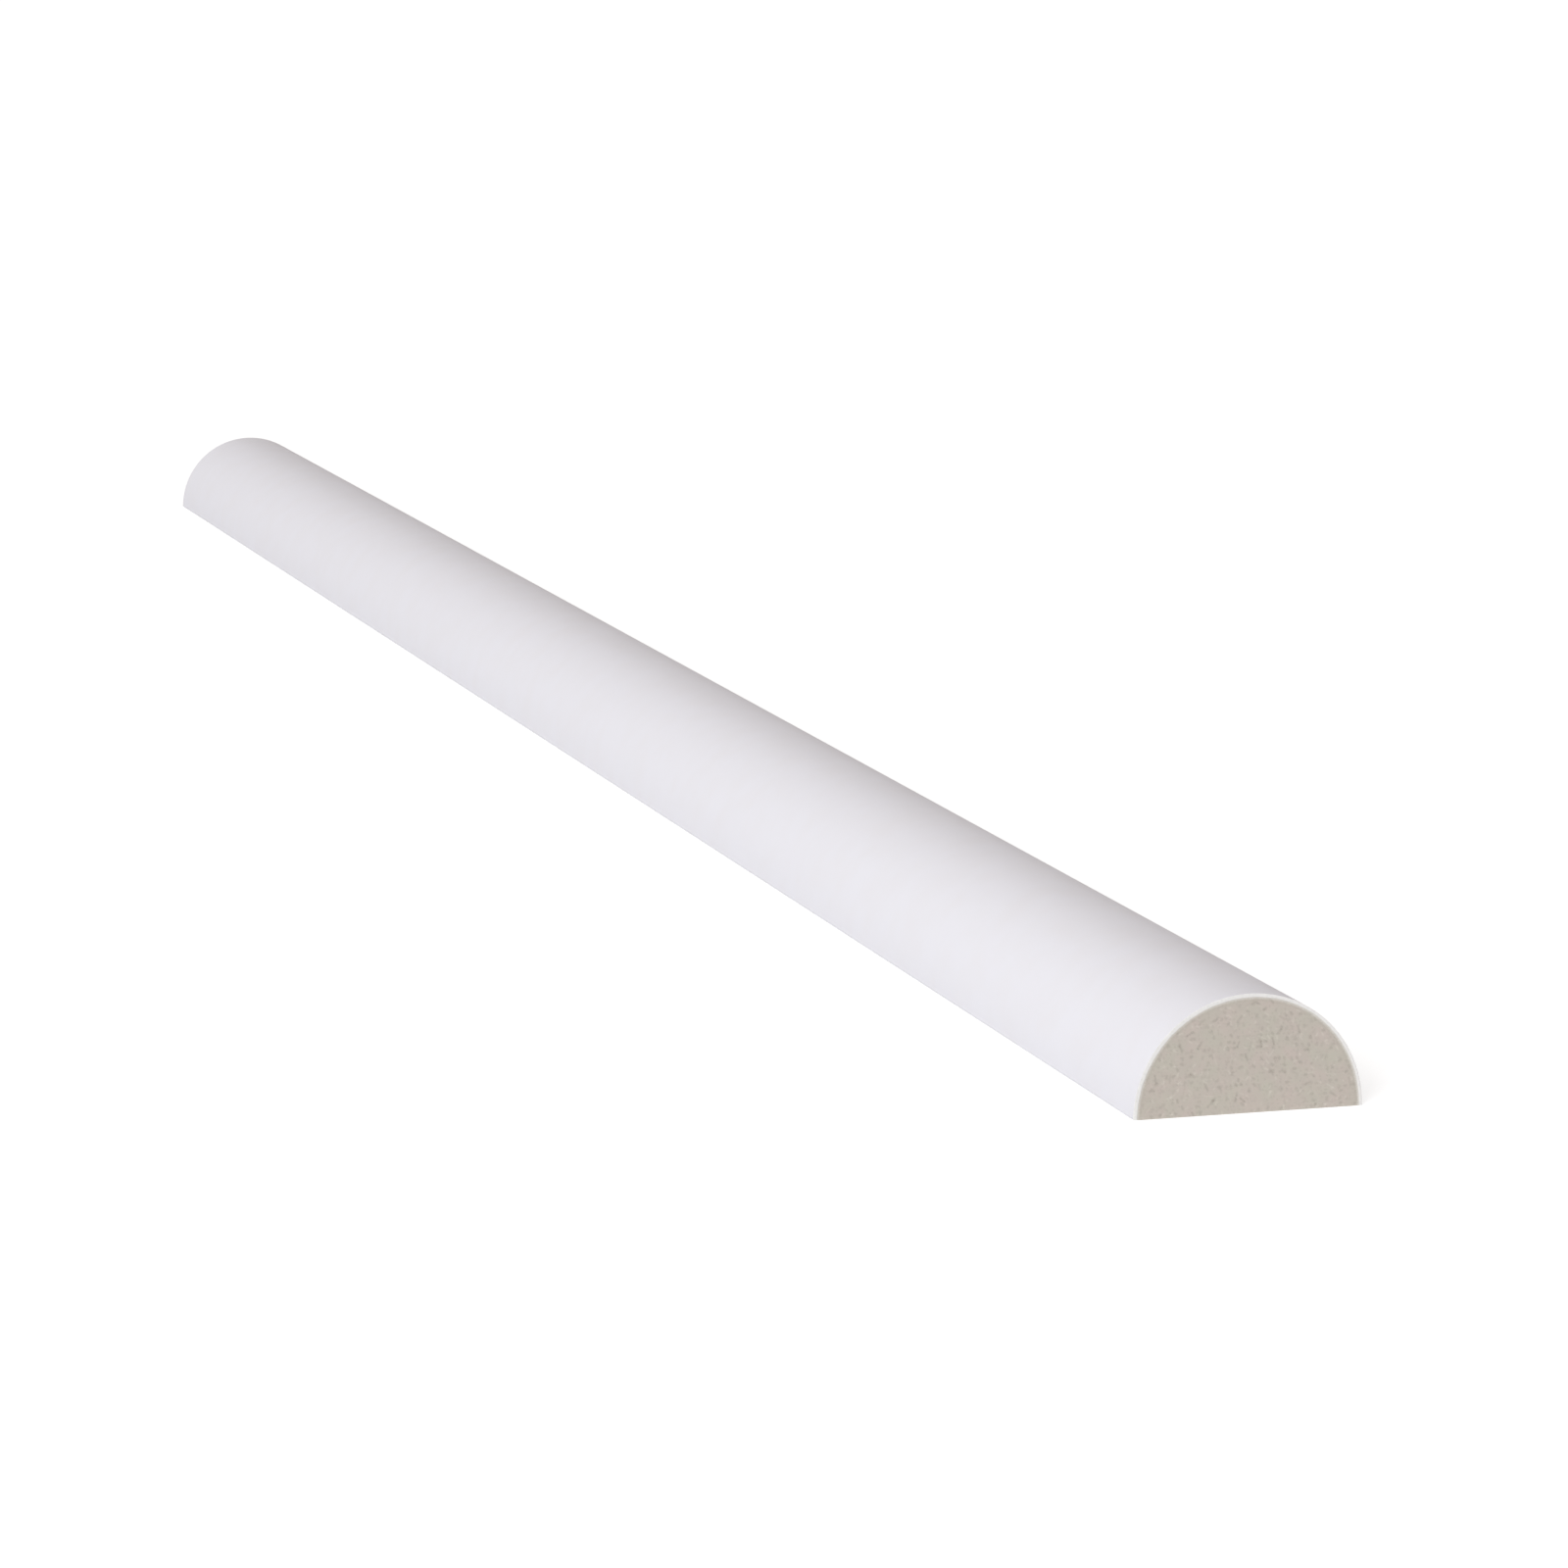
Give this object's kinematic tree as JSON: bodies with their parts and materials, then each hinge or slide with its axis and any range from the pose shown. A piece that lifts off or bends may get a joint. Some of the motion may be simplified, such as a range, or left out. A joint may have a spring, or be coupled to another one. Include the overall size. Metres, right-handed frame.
{
  "type": "half-round moulding",
  "caption": "Straight half-round moulding with a flat back, primed white on its round face, with bare fibreboard at its square-cut ends and back.",
  "frame": {"origin": "centre of the flat back, halfway between the two cut ends, so the moulding lies on the plane z = 0", "axes": "+X along the length, +Y across the width, +Z from the flat back towards the crown of the round face"},
  "size_m": [0.52, 0.0254, 0.0127],
  "materials": {
    "white_primer": "matte",
    "bare_fibreboard": "matte"
  },
  "bodies": {
    "root": {"half_round_moulding": "white_primer"}
  },
  "joints": []
}
